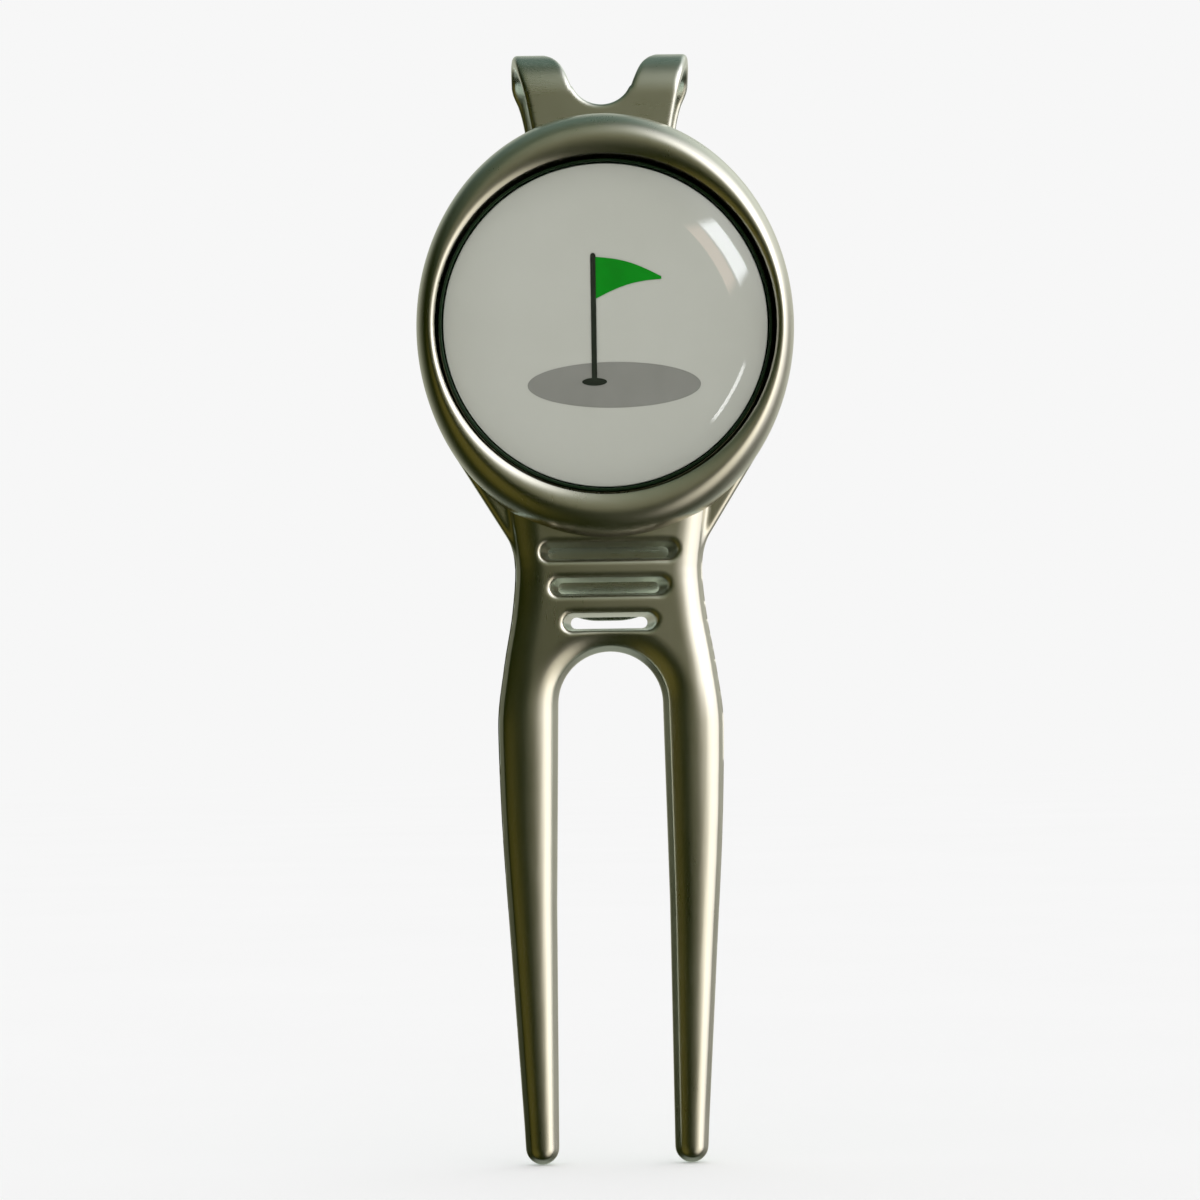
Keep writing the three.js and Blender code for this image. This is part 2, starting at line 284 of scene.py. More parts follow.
def surface_net(values, grids):
    """Quads on the zero surface of sampled values, negative inside: one vertex in each
    crossed cell, at the middle of its crossings."""
    cells = np.array(values.shape)
    corners, centres, weights = [], [], []
    for axis in range(3):
        u, v = (axis + 1) % 3, (axis + 2) % 3
        low = [slice(None)] * 3
        high = [slice(None)] * 3
        low[axis], high[axis] = slice(None, -1), slice(1, None)
        f0, f1 = values[tuple(low)], values[tuple(high)]
        index = np.argwhere((f0 < 0) != (f1 < 0))
        at = tuple(index.T)
        f0, f1 = f0[at], f1[at]
        point = np.column_stack([grids[d][index[:, d]] for d in range(3)])
        span = grids[axis][index[:, axis] + 1] - grids[axis][index[:, axis]]
        point[:, axis] += f0 / (f0 - f1) * span
        quad = []
        for du, dv in ((1, 1), (0, 1), (0, 0), (1, 0)):
            cell = index.copy()
            cell[:, u] -= du
            cell[:, v] -= dv
            quad.append(np.ravel_multi_index(tuple(cell.T), cells))
        quad = np.column_stack(quad)
        outward = (f0 < 0)[:, None]
        corners.append(np.where(outward, quad, quad[:, ::-1]))
        centres.append(np.repeat(point, 4, axis=0))
        weights.append(quad.ravel())
    quads = np.concatenate(corners)
    used, inverse = np.unique(quads, return_inverse=True)
    owner = np.searchsorted(used, np.concatenate(weights))
    count = np.bincount(owner, minlength=len(used))
    points = np.column_stack(
        [
            np.bincount(owner, column, minlength=len(used)) / count
            for column in np.concatenate(centres).T
        ]
    )
    return points, inverse.reshape(quads.shape)


def lathe(profile, centre, segments):
    """Points and faces of a body turned round an axis; the profile runs [radius, out] from
    the back of the axis, round the outside, to its front."""
    turn = np.linspace(0, 2 * math.pi, segments, endpoint=False)
    ring = profile[1:-1]
    rings = [
        np.column_stack(
            [centre[0] + r * np.cos(turn), centre[1] + r * np.sin(turn), np.full(segments, out)]
        )
        for r, out in ring
    ]
    ends = [[*centre, profile[0][1]], [*centre, profile[-1][1]]]
    first = len(ring) * segments
    faces = []
    for j in range(segments):
        k = (j + 1) % segments
        for i in range(len(ring) - 1):
            a, b = i * segments, (i + 1) * segments
            faces.append((a + j, a + k, b + k, b + j))
        top = first - segments
        faces += [(first, k, j), (first + 1, top + j, top + k)]
    return np.vstack([*rings, ends]), faces


def pulled_on(points, field):
    """The points moved onto the field's zero surface in a few short steps."""
    for _ in range(PULLS):
        value = field(points)
        slope = np.column_stack(
            [(field(points + PROBE * axis) - value) / PROBE for axis in np.eye(3)]
        )
        size = np.maximum((slope**2).sum(axis=1), LEAST_SLOPE)
        move = slope * (value / size)[:, None]
        length = np.linalg.norm(move, axis=1)
        move *= np.minimum(1, PULL_REACH / np.maximum(length, TINY))[:, None]
        points = points - move
    return points


def mirrored_steps(step, count):
    """Sample places on both sides of the middle line, half a step clear of it."""
    half = np.arange(0.5, count) * step
    return np.concatenate([-half[::-1], half])


# ---------------------------------------------------------------- the casting

def fork_outline():
    """The right half of the neck and one prong, closed left of the middle line."""
    along = np.linspace(OUTER_SIDE[0][0], OUTER_SIDE[-1][0], 64)
    falling = [(-a, w) for a, w in OUTER_SIDE]
    outer = np.column_stack([smooth_through(falling, -along), along])
    tip = arc(TIP_X, TIP_END + TIP_R, TIP_R, 0, -180, 16)
    arch = arc(0, ARCH_TOP - ARCH_R, ARCH_R, 0, 90, 16)
    return np.vstack([outer, tip, INNER_SIDE, arch, [(CLOSING_X, ARCH_TOP), *CLOSING_TOP]])


def ledge_outline():
    """The right half of the thin ledge between the neck and the bezel."""
    along = np.linspace(LEDGE_SIDE[0][0], LEDGE_SIDE[-1][0], 30)
    rising = [(-a, w) for a, w in LEDGE_SIDE]
    side = np.column_stack([smooth_through(rising, -along), along])
    return np.vstack([side, [(CLOSING_X, LEDGE_SIDE[-1][0]), *CLOSING_TOP]])


FORK_OUTLINE = fork_outline()
LEDGE_OUTLINE = ledge_outline()


def crown(edge, width, depth):
    """Height and slope of a drafted side band and the round crown above it, by the distance
    in from the outline."""
    sag = width * (1 - math.cos(CROWN_EDGE)) / math.sin(CROWN_EDGE)
    wall = depth - sag
    q = np.clip((edge - BAND) / width, 0, 1)
    lean = (1 - q) * math.sin(CROWN_EDGE)
    rise = np.sqrt(1 - lean**2)
    curve = (rise - math.cos(CROWN_EDGE)) / (1 - math.cos(CROWN_EDGE))
    on_band = edge < BAND
    height = np.where(on_band, wall * edge / BAND, wall + sag * curve)
    slope = np.where(on_band, wall / BAND, lean / rise)
    return height, slope


def fork_field(edge, x, y, z):
    """Neck and prongs, by the distance in from their outline. The face swells slightly
    towards the middle line, and the parting line round the sides is rounded off."""
    share = np.clip((y - TAPER_START) / (TIP_END - TAPER_START), 0, 1)
    depth = HALF_DEPTH_ROOT + (HALF_DEPTH_TIP - HALF_DEPTH_ROOT) * share
    width = CROWN_ROOT + (CROWN_TIP - CROWN_ROOT) * share
    front, front_slope = crown(edge, width, depth)
    front = front - FACE_SWELL * (1 - share) * np.minimum(np.abs(x), SWELL_REACH) ** 2
    back, back_slope = crown(edge, CROWN_BACK * width, depth - FORK_BACK)
    reach = np.abs(z - FORK_MID)
    rounded = reach**2 / (2 * PARTING_ROUND)
    rise = np.where(reach < PARTING_ROUND, rounded, reach - PARTING_ROUND / 2)
    ahead = z > FORK_MID
    height = np.where(ahead, front, back)
    slope = np.where(ahead, front_slope, back_slope)
    return (rise - height) / np.sqrt(1 + slope**2)


def slot_field(x, y, z):
    """The three slots, which narrow towards the back."""
    best = np.full(np.broadcast(x, y, z).shape, FAR)
    below = np.clip(2 * FORK_MID - z, 0, 4)
    for i, length in enumerate(SLOT_LENGTHS):
        middle = SLOT_TOP - i * SLOT_PITCH
        reach = length / 2 - SLOT_HALF - SLOT_END_DRAFT * below
        half = SLOT_HALF - SLOT_DRAFT * below
        best = np.minimum(best, np.hypot(np.maximum(np.abs(x) - reach, 0), y - middle) - half)
    return best


def ledge_field(edge, z):
    """The thin ledge, by the distance in from its outline."""
    half = (LEDGE_TOP - FORK_BACK) / 2
    return blend_max(np.abs(z - FORK_BACK - half) - half, -edge, LEDGE_EDGE)


def slotted_field(edge, ledge_edge, x, y, z):
    """Neck, prongs and ledge with the slots cut through, ended inside the bezel's wall."""
    body = blend_min(fork_field(edge, x, y, z), ledge_field(ledge_edge, z), LEDGE_FILLET)
    body = blend_max(body, -slot_field(x, y, z), SLOT_EDGE)
    return np.maximum(body, FORK_START_R - np.hypot(x, y))


def edges_at(x, y):
    """Distances in from the fork's outline and from the ledge's."""
    x = np.abs(x)
    return inset(x, y, FORK_OUTLINE), inset(x, y, LEDGE_OUTLINE)


def slotted_at(points):
    """The same field at loose points."""
    x, y, z = points.T
    return slotted_field(*edges_at(x, y), x, y, z)


def make_fork():
    """Neck, prongs and ledge. The neck is sampled more finely, for its slots."""
    coarse, fine = FORK_GRID_ALONG
    xs = mirrored_steps(FORK_GRID_ACROSS, LEDGE_SIDE[0][1] / FORK_GRID_ACROSS + 3)
    neck_end, neck_top = ARCH_TOP - 1.0, SLOT_TOP + 2.5
    ys = np.concatenate(
        [
            np.arange(TIP_END - 0.5, neck_end, coarse),
            np.arange(neck_end, neck_top, fine),
            np.arange(neck_top, -FORK_START_R / 2, coarse),
        ]
    )
    zs = np.arange(-0.31, 2 * FORK_MID + 0.4, FORK_GRID_OUT)
    flat_x, flat_y = np.meshgrid(xs, ys, indexing="ij")
    fields = (*edges_at(flat_x, flat_y), flat_x, flat_y)
    values = slotted_field(*(f[:, :, None] for f in fields), zs[None, None, :])
    points, faces = surface_net(values, (xs, ys, zs))
    return new_object("fork", pulled_on(points, slotted_at), faces)


def ellipse_arc(centre, half_width, half_height, start, end, steps):
    """Points on an ellipse's arc, in degrees."""
    return arc(0, 0, 1, start, end, steps) * [half_width, half_height] + centre


def make_head(segments=288):
    """The round dish and its oval bezel. The profile's first number is a radius up to
    RECESS_R, and beyond it RECESS_R plus a share of the bezel's width, which changes round the
    oval. The crest leans in towards the recess at the sides, and the slope inside it starts at
    a corner, steep enough not to mirror the marker's face."""
    rise = CREST - BEZEL_SIDE
    lean = CREST_SHARE / math.cos(math.radians(LIP_LEAN))
    inner = ellipse_arc((CREST_SHARE, LIP), lean, CREST - LIP, 180 - LIP_LEAN, 90, 12)
    outer = ellipse_arc((CREST_SHARE, BEZEL_SIDE), 1 - CREST_SHARE, rise, 90, 0, 26)
    flank = ellipse_arc((1 - BACK_SHARE, BACK_ROUND), BACK_SHARE, BACK_ROUND, 0, -90, 10)
    shell = np.vstack([inner, outer[1:], flank])
    shell[:, 0] += RECESS_R
    dish = [
        (0, 0), (RECESS_R * 0.5, 0), *shell[::-1], (RECESS_R, inner[0][1] - LIP_WALL),
        (RECESS_R, RECESS_FLOOR + FLOOR_ROUND),
        (RECESS_R - 0.08, RECESS_FLOOR + 0.08), (RECESS_R - FLOOR_ROUND, RECESS_FLOOR),
        (POCKET_R + POCKET_BEVEL, RECESS_FLOOR), (POCKET_R, RECESS_FLOOR - POCKET_BEVEL),
        (POCKET_R, POCKET_FLOOR), (0, POCKET_FLOOR),
    ]
    points, faces = lathe(np.array(dish), (0, 0), segments)
    radius = np.hypot(points[:, 0], points[:, 1])
    beyond = radius > RECESS_R
    cos, sin = points[beyond, 0] / radius[beyond], points[beyond, 1] / radius[beyond]
    rim = 1 / np.hypot(cos / BEZEL_A, sin / BEZEL_B)
    share = radius[beyond] - RECESS_R
    share = share - CREST_SHIFT * cos**2 * share * (1 - share)
    moved = RECESS_R + share * (rim - RECESS_R)
    points[beyond, 0], points[beyond, 1] = moved * cos, moved * sin
    return new_object("casting", points, faces)


def rivet_place(node):
    """A rivet's axis, as [across, along]."""
    low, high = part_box(node)
    return (0, along_of((low.z + high.z) / 2))


def make_casting(look):
    """Head and fork in one casting, with the rivets' holes. Its flat faces are shaded flat."""
    casting = combined(make_head(), make_fork(), "UNION")
    for rivet in RIVETS:
        hole = np.array([(0, -1.0), (HOLE_R, -1.0), (HOLE_R, HOLE_DEPTH), (0, HOLE_DEPTH)])
        drill = new_object("drill", *lathe(hole, rivet_place(rivet), 48))
        casting = combined(casting, drill, "DIFFERENCE")
    casting.data.set_sharp_from_angle(angle=math.radians(SHARP_DEGREES))
    for polygon in casting.data.polygons:
        polygon.use_smooth = abs(polygon.normal.y) < FLAT_FACING
    return finish(casting, look, "tool", "fork_body")


# ---------------------------------------------------------------- the spring clip

SHEET = 1.1
SHEET_EDGE = 0.36
LEG_END = along_of(LEG_LO.z)
EAR_TOP = along_of(LEG_HI.z)
BEND_OUTER = (TONGUE_HI.y - LEG_LO.y) / 2 / MM
BEND_R = BEND_OUTER - SHEET / 2
LEG_OUT = out_of(LEG_LO.y) - SHEET / 2
LEG_LENGTH = EAR_TOP - BEND_OUTER - LEG_END
BEND_LENGTH = math.pi * BEND_R
BEND_END = LEG_LENGTH + BEND_LENGTH
KNEE_LENGTH = 2.4
LIP_LENGTH = 7.1
TONGUE_SLOPE = math.radians(14.3)
LIP_TURN = math.radians(38.3)
TONGUE_FLAT = 14.4
# How far the strip's slanted end reaches below the end of its centre line.
END_SLANT = 0.15
BENT_STEP = 0.05
LEG_CORNER = 2.0
TOE_R = 4.4
NOTCH_R = 2.47
NOTCH_BOTTOM = 17.75
NOTCH_CORNER = 26
STRIP_CLOSING_X = -9.0


def strip_line():
    """The clip's centre line as [u, along, out, heading], bent from a flat strip."""
    drop = EAR_TOP - BEND_OUTER - TONGUE_FLAT - along_of(TONGUE_LO.z) - END_SLANT
    knee_drop = KNEE_LENGTH * math.sin(TONGUE_SLOPE) / TONGUE_SLOPE
    lip_turned = math.sin(TONGUE_SLOPE) - math.sin(TONGUE_SLOPE - LIP_TURN)
    lip_drop = LIP_LENGTH * lip_turned / LIP_TURN
    run = (drop - knee_drop - lip_drop) / math.cos(TONGUE_SLOPE)
    pieces = [
        (LEG_LENGTH, 0),
        (BEND_LENGTH, math.pi),
        (TONGUE_FLAT, 0),
        (KNEE_LENGTH, TONGUE_SLOPE),
        (run, 0),
        (LIP_LENGTH, -LIP_TURN),
    ]
    u, heading = [0.0], [0.0]
    for length, turn in pieces:
        steps = max(2, int(length / BENT_STEP))
        for i in range(1, steps + 1):
            u.append(u[-1] + length / steps)
            heading.append(heading[-1] + turn / steps)
    u, heading = np.array(u), np.array(heading)
    middle = (heading[1:] + heading[:-1]) / 2
    step = np.diff(u)
    along = LEG_END + np.concatenate([[0], np.cumsum(np.cos(middle) * step)])
    out = LEG_OUT - np.concatenate([[0], np.cumsum(np.sin(middle) * step)])
    return u, along, out, heading


STRIP_U, STRIP_ALONG, STRIP_OUT, STRIP_HEADING = strip_line()
STRIP_LENGTH = STRIP_U[-1]


def bend_at(degrees):
    """Distance along the strip at an angle round its bend."""
    return LEG_LENGTH + BEND_R * math.radians(degrees)


# Half-widths of the flat strip and of the notch in it, by the distance along the strip.
STRIP_SIDE = [
    (0.0, 4.6), (9.6, 5.0), (12.0, 5.45), (LEG_LENGTH, 5.95), (bend_at(40), 6.5),
    (bend_at(90), 6.9), (bend_at(120), 7.0), (bend_at(150), 6.98), (bend_at(168), 6.7),
    (BEND_END, 6.42), (BEND_END + 1.7, 6.02), (BEND_END + 3.6, 5.75), (BEND_END + 15.6, 5.35),
    (STRIP_LENGTH - TOE_R, 5.2), (STRIP_LENGTH, 5.2),
]
NOTCH_SIDE = [
    (bend_at(8), 2.27), (bend_at(28), 2.68), (bend_at(48), 3.12), (bend_at(62), 3.55),
    (bend_at(78), 4.05), (bend_at(90), 4.15), (bend_at(102), 4.05), (bend_at(118), 3.55),
    (bend_at(132), 3.12), (bend_at(152), 2.68), (bend_at(172), 2.27),
]


def strip_outlines():
    """The flat strip's right half, and the notch's, each closed left of the middle line."""
    start_half, end_half = STRIP_SIDE[0][1], STRIP_SIDE[-1][1]
    start = arc(start_half - LEG_CORNER, LEG_CORNER, LEG_CORNER, -90, 0, 10)
    u = np.linspace(LEG_CORNER + 0.3, STRIP_LENGTH - TOE_R - 0.3, 120)
    side = np.column_stack([smooth_through(STRIP_SIDE, u), u])
    end = arc(end_half - TOE_R, STRIP_LENGTH - TOE_R, TOE_R, 0, 90, 18)
    closing = [(STRIP_CLOSING_X, STRIP_LENGTH), (STRIP_CLOSING_X, 0.0)]
    low_u = NOTCH_BOTTOM - LEG_END
    high_u = LEG_LENGTH + BEND_END - low_u
    u = np.linspace(NOTCH_SIDE[0][0], NOTCH_SIDE[-1][0], 60)
    opening = np.column_stack([smooth_through(NOTCH_SIDE, u), u])
    low = arc(0, low_u + NOTCH_R, NOTCH_R, -90, -NOTCH_CORNER, 12)
    high = arc(0, high_u - NOTCH_R, NOTCH_R, NOTCH_CORNER, 90, 12)
    notch_closing = [(STRIP_CLOSING_X, high_u), (STRIP_CLOSING_X, low_u)]
    return (
        np.vstack([start, side, end, closing]),
        np.vstack([low, opening, high, notch_closing]),
    )


STRIP_OUTLINE, NOTCH_OUTLINE = strip_outlines()
RIVET_US = [rivet_place(rivet)[1] - LEG_END for rivet in RIVETS]


def sheet_field(edge, n):
    """The flat strip with rounded edges, by the distance in from its outline."""
    a = SHEET_EDGE - edge
    b = np.abs(n) - SHEET / 2 + SHEET_EDGE
    beyond = np.hypot(np.maximum(a, 0), np.maximum(b, 0))
    return beyond + np.minimum(np.maximum(a, b), 0) - SHEET_EDGE


def strip_edge(v, u):
    """Distance in from the strip's edge, its notch and the rivets' holes."""
    v = np.abs(v)
    edge = np.minimum(inset(v, u, STRIP_OUTLINE), -inset(v, u, NOTCH_OUTLINE))
    for centre in RIVET_US:
        edge = np.minimum(edge, np.hypot(v, u - centre) - HOLE_R)
    return edge


def bent(points):
    """Flat strip points [across, u, n] folded into the clip."""
    across, u, n = points.T
    along = np.interp(u, STRIP_U, STRIP_ALONG)
    out = np.interp(u, STRIP_U, STRIP_OUT)
    heading = np.interp(u, STRIP_U, STRIP_HEADING)
    return np.column_stack(
        [across, along + n * np.sin(heading), out + n * np.cos(heading)]
    )


def strip_at(points):
    """The flat strip's field at loose points [across, u, n]."""
    return sheet_field(strip_edge(points[:, 0], points[:, 1]), points[:, 2])


def make_clip(look):
    """The clip, meshed flat and then bent. It takes the place of both CAD halves."""
    xs = mirrored_steps(CLIP_GRID, 7.6 / CLIP_GRID)
    us = np.arange(-0.6, STRIP_LENGTH + 0.6, CLIP_GRID)
    ns = np.linspace(-0.77, 0.77, 12)
    flat_x, flat_u = np.meshgrid(xs, us, indexing="ij")
    values = sheet_field(strip_edge(flat_x, flat_u)[:, :, None], ns[None, None, :])
    points, faces = surface_net(values, (xs, us, ns))
    points = bent(pulled_on(points, strip_at))
    clip = finish(new_object("spring_clip", points, faces), look, None, "clip_leg", "clip_tongue")
    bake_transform(clip)
    return clip


# ---------------------------------------------------------------- turned pieces

FILLET_SHARE = 0.45
CUP_WALL = 0.22
CUP_UNDER_PRINT = 0.1
CUP_FOOT = 0.12
DOME_EDGE = 0.22
DOME_START = math.radians(87)
DOME_POWER = 4.4
FACING_BACK = 0.9
RIVET_HEAD = 0.5
RIVET_SHANK = 1.0


def filleted(profile, radius, steps=5):
    """A profile whose corners are rounded, apart from its ends, each by at most FILLET_SHARE
    of its sides."""
    p = np.array(profile, float)
    made = [p[0]]
    for before, at, after in zip(p[:-2], p[1:-1], p[2:]):
        a, b = before - at, after - at
        la, lb = np.linalg.norm(a), np.linalg.norm(b)
        cut = min(radius, FILLET_SHARE * la, FILLET_SHARE * lb)
        start, end = at + a / la * cut, at + b / lb * cut
        for t in np.linspace(0, 1, steps + 1):
            made.append((1 - t) ** 2 * start + 2 * t * (1 - t) * at + t * t * end)
    made.append(p[-1])
    return np.array(made)


def turned(name, profile, centre, look, body, node, segments):
    """A turned piece that takes the place of one CAD node."""
    piece = new_object(name, *lathe(profile, centre, segments))
    return finish(piece, look, body, node)


def make_marker(looks):
    """The marker's cup, printed face and resin dome. Returns how far out the face lies."""
    back, rim_top = out_of(DISC_HI.y), out_of(DISC_LO.y)
    outer = DISC_HI.x / MM
    cup_floor = out_of(PRINT_HI.y) - CUP_UNDER_PRINT
    inner, foot = outer - CUP_WALL, back + CUP_FOOT
    cup = [
        (0, back), (outer - 1.4, back), (outer - 1.2, foot), (outer, foot),
        (outer, rim_top), (inner, rim_top), (inner, cup_floor), (0, cup_floor),
    ]
    # The cup's dark colour is partly its plated rim and partly painted shade of the gap round it.
    turned("marker_cup", filleted(cup, 0.09), (0, 0), looks["dark"], "marker", "marker_disc", 192)
    face_back, face = out_of(PRINT_HI.y), out_of(PRINT_LO.y)
    radius = PRINT_HI.x / MM
    card = [(0, face_back), (radius, face_back), (radius, face), (0, face)]
    turned("marker_face", filleted(card, 0.06), (0, 0), looks["print"], "marker", "marker_print", 192)
    dome_back, apex = out_of(DOME_HI.y), out_of(DOME_LO.y)
    edge = dome_back + DOME_EDGE
    share = np.sin(np.linspace(DOME_START, 0, 22))
    rise = edge + (apex - edge) * (1 - share**DOME_POWER)
    cap = [(0, dome_back), (radius - 0.05, dome_back), (radius, dome_back + 0.08)]
    cap += [(radius * s, h) for s, h in zip(share, rise)]
    dome = turned(
        "marker_resin", np.array(cap), (0, 0), looks["resin"], "marker", "marker_dome", 192
    )
    dome.data.materials.append(looks["clear"][0])
    for polygon in dome.data.polygons:
        if polygon.normal.y > FACING_BACK:
            polygon.material_index = 1
    return face


def make_magnet(look):
    """The disc magnet in the recess's floor."""
    back, front, radius = out_of(MAGNET_HI.y), out_of(MAGNET_LO.y), MAGNET_HI.x / MM
    profile = [(0, back), (radius, back), (radius, front), (0, front)]
    turned("magnet", filleted(profile, 0.18), (0, 0), look, "tool", "marker_magnet", 96)


def make_rivets(look):
    """Two rivets with low round heads, which stand behind the clip's leg."""
    for node in RIVETS:
        low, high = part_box(node)
        crown_out, inner = out_of(high.y), out_of(low.y)
        radius = high.x / MM
        seat = crown_out + RIVET_HEAD
        profile = [
            (0, crown_out), (radius * 0.5, crown_out + 0.02), (radius * 0.8, crown_out + 0.12),
            (radius * 0.97, crown_out + 0.3), (radius, seat), (RIVET_SHANK, seat),
            (RIVET_SHANK, inner), (0, inner),
        ]
        turned(node + "_turned", filleted(profile, 0.1), rivet_place(node), look, "tool", node, 64)


# ---------------------------------------------------------------- printed mark

INK_THICK = 0.02
INK_LIFT = 0.004
INK_LAYER = 0.025


def ink(name, outline, out, look):
    """A flat printed shape on the marker's face, a few hundredths of a millimetre thick."""
    n = len(outline)
    low = np.column_stack([outline, np.full(n, out)])
    high = low + [0, 0, INK_THICK]
    faces = [tuple(range(n, 2 * n)), tuple(range(n - 1, -1, -1))]
    faces += [(i, (i + 1) % n, n + (i + 1) % n, n + i) for i in range(n)]
    shape = new_object(name, np.vstack([low, high]), faces)
    shape.data.polygons.foreach_set("use_smooth", [False] * len(faces))
    return finish(shape, look, "marker")


def ellipse(cx, cy, a, b, steps=72):
    """A closed ellipse's outline."""
    return arc(0, 0, 1, 0, 360 - 360 / steps, steps - 1) * [a, b] + [cx, cy]


def make_mark(face, looks):
    """A plain flag on a green: a generic golf pictogram."""
    base = face + INK_LIFT
    ink("print_green", ellipse(0.6, -4.6, 6.6, 1.75), base, looks["ink_grey"])
    ink("print_cup", ellipse(-0.9, -4.35, 0.95, 0.3), base + INK_LAYER, looks["ink_dark"])
    pole = np.vstack(
        [arc(-0.9, 5.3, 0.2, 0, 180, 10), arc(-0.9, -4.3, 0.2, 180, 360, 10)]
    )
    ink("print_pole", pole, base + 2 * INK_LAYER, looks["ink_dark"])
    share = np.linspace(0, 1, 14)
    across = -0.7 + 5.0 * share
    wave = 0.35 * np.sin(share * math.pi)
    top = np.column_stack([across, 5.2 - 1.55 * share + wave])
    under = np.column_stack([across, 2.0 + 1.45 * share + wave])
    ink("print_pennant", np.vstack([under, top[::-1]]), base + INK_LAYER, looks["ink_green"])


# ---------------------------------------------------------------- materials

# The Mix node's colour sockets, which share their names with its other ones.
COLOUR_A, COLOUR_B, COLOUR_OUT = 6, 7, 2
RESIN_HEAD_ON = 0.043
RESIN_POWER = 5.0
METAL_STREAK = 0.015
METAL_BLOTCH = 0.025
PLAIN_VARIES = 0.04


def new_material(name):
    """A node material with its tree and its own shader."""
    material = bpy.data.materials.new(name)
    material.use_nodes = True
    tree = material.node_tree
    return material, tree, tree.nodes["Principled BSDF"]


def node(tree, kind, links=(), **settings):
    """A shader node with its settings, and its inputs linked or set."""
    made = tree.nodes.new(kind)
    for key, value in settings.items():
        setattr(made, key, value)
    for socket, value in dict(links).items():
        if isinstance(value, bpy.types.NodeSocket):
            tree.links.new(value, made.inputs[socket])
        else:
            made.inputs[socket].default_value = value
    return made


def grain(tree, scale, stretch, detail):
    """Noise in the piece's own millimetres, stretched along the axes whose factor is small."""
    place = node(tree, "ShaderNodeTexCoord")
    mapped = node(
        tree, "ShaderNodeMapping",
        {"Vector": place.outputs["Object"], "Scale": [scale / MM * s for s in stretch]},
    )
    return node(
        tree, "ShaderNodeTexNoise",
        {"Vector": mapped.outputs[0], "Scale": 1.0, "Detail": detail, "Roughness": 0.6},
    ).outputs["Fac"]


def ranged(tree, value, low, high):
    """Noise, which mostly lies between 0.3 and 0.7, spread from low to high."""
    return node(
        tree, "ShaderNodeMapRange",
        {"Value": value, "From Min": 0.3, "From Max": 0.7, "To Min": low, "To Max": high},
    ).outputs["Result"]


def mixed(tree, share, a, b):
    """A colour between two."""
    links = {"Factor": share, COLOUR_A: (*a, 1), COLOUR_B: (*b, 1)}
    return node(tree, "ShaderNodeMix", links, data_type="RGBA").outputs[COLOUR_OUT]


def satin_metal(name, dark, light, rough, streak):
    """Plated metal with a satin finish: soft blotches and fine brushing, which runs along the
    axis whose streak factor is small."""
    material, tree, shader = new_material(name)
    blotch = grain(tree, 0.12, (1, 1, 1), 3)
    brushed = grain(tree, 6.0, streak, 3)
    fine = grain(tree, 22.0, (1, 1, 1), 2)
    colour = mixed(tree, ranged(tree, blotch, 0.0, 1.0), dark, light)
    tree.links.new(colour, shader.inputs["Base Color"])
    shader.inputs["Metallic"].default_value = 1.0
    roughness = node(
        tree, "ShaderNodeMath",
        {0: ranged(tree, blotch, rough - METAL_BLOTCH, rough + METAL_BLOTCH),
         1: ranged(tree, brushed, -METAL_STREAK, METAL_STREAK)},
        operation="ADD",
    ).outputs[0]
    tree.links.new(roughness, shader.inputs["Roughness"])
    height = node(tree, "ShaderNodeMath", {0: brushed, 1: fine}, operation="ADD").outputs[0]
    bump = node(
        tree, "ShaderNodeBump", {"Height": height, "Strength": 0.03, "Distance": 0.01 * MM}
    )
    tree.links.new(bump.outputs[0], shader.inputs["Normal"])
    return material


def plain(name, dark, light, rough, scale=0.4, metallic=0.0, specular=0.5):
    """A coating or ink with slight colour and roughness variation and a fine bump."""
    material, tree, shader = new_material(name)
    cloud = grain(tree, scale, (1, 1, 1), 3)
    fine = grain(tree, scale * 30, (1, 1, 1), 2)
    colour = mixed(tree, ranged(tree, cloud, 0.0, 1.0), dark, light)
    tree.links.new(colour, shader.inputs["Base Color"])
    shader.inputs["Metallic"].default_value = metallic
    shader.inputs["Specular IOR Level"].default_value = specular
    roughness = ranged(tree, fine, rough - PLAIN_VARIES, rough + PLAIN_VARIES)
    tree.links.new(roughness, shader.inputs["Roughness"])
    bump = node(
        tree, "ShaderNodeBump", {"Height": fine, "Strength": 0.15, "Distance": 0.002 * MM}
    )
    tree.links.new(bump.outputs[0], shader.inputs["Normal"])
    return material


def resin_material():
    """Clear glossy resin: light passes straight through, and its surface mirrors more the
    more it is seen at a slant."""
    material, tree, shader = new_material("clear_resin")
    tree.nodes.remove(shader)
    ripple = grain(tree, 0.25, (1, 1, 1), 2)
    bump = node(tree, "ShaderNodeBump", {"Height": ripple, "Strength": 0.08, "Distance": 0.02 * MM})
    gloss = node(
        tree, "ShaderNodeBsdfGlossy",
        {"Color": (1, 1, 1, 1), "Roughness": 0.0, "Normal": bump.outputs[0]},
    )
    clear = node(tree, "ShaderNodeBsdfTransparent", {"Color": (0.97, 0.975, 0.97, 1)})
    glance = node(tree, "ShaderNodeLayerWeight", {"Blend": 0.5, "Normal": bump.outputs[0]})
    steep = node(
        tree, "ShaderNodeMath", {0: glance.outputs["Facing"], 1: RESIN_POWER}, operation="POWER"
    )
    mirrored = node(
        tree, "ShaderNodeMath", {0: steep.outputs[0], 1: 1 - RESIN_HEAD_ON, 2: RESIN_HEAD_ON},
        operation="MULTIPLY_ADD",
    )
    mix = shader_mix(tree, mirrored.outputs[0], clear.outputs[0], gloss.outputs[0])
    tree.links.new(mix, tree.nodes["Material Output"].inputs["Surface"])
    return material


